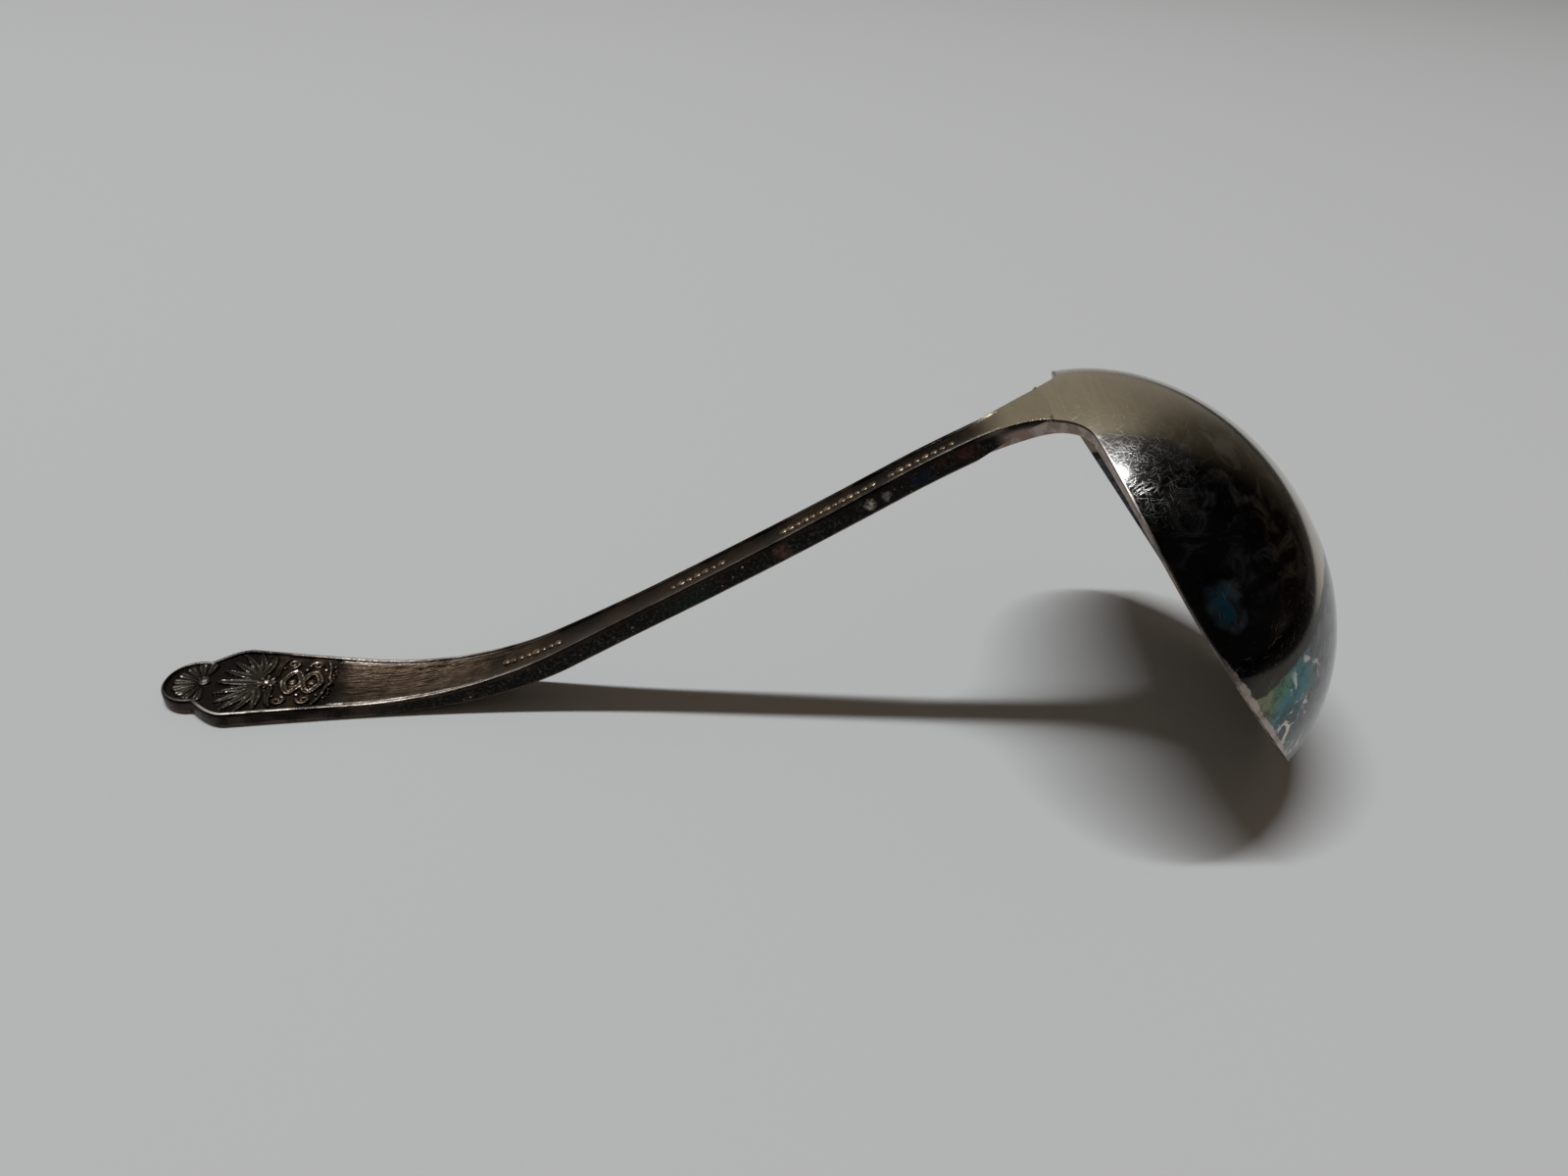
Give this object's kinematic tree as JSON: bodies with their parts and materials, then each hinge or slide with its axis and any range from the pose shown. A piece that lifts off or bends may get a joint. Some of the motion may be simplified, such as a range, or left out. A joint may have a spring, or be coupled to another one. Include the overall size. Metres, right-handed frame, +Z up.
{
  "type": "sauce ladle",
  "caption": "Sauce ladle lying face down: round drawn bowl soldered to a struck handle with a channelled shank and a lobed ornamental terminal, in tarnished silver plate.",
  "frame": {"origin": "on the table below the middle of the ladle's box, as it lies face down", "axes": "+X along the ladle from the terminal to the bowl, +Z up, mirror plane at Y = 0"},
  "size_m": [0.1688, 0.0648, 0.0516],
  "materials": {
    "bowl_plate": "polished silver plate over nickel silver, scratched, with dark and iridescent tarnish",
    "handle_plate": "silver plate over nickel silver with heavy brown-black tarnish, worn bright on the high points",
    "solder": "hard silver solder, satin"
  },
  "bodies": {
    "root": {"bowl": "bowl_plate", "handle": "handle_plate", "solder_seam": "solder"}
  },
  "joints": []
}
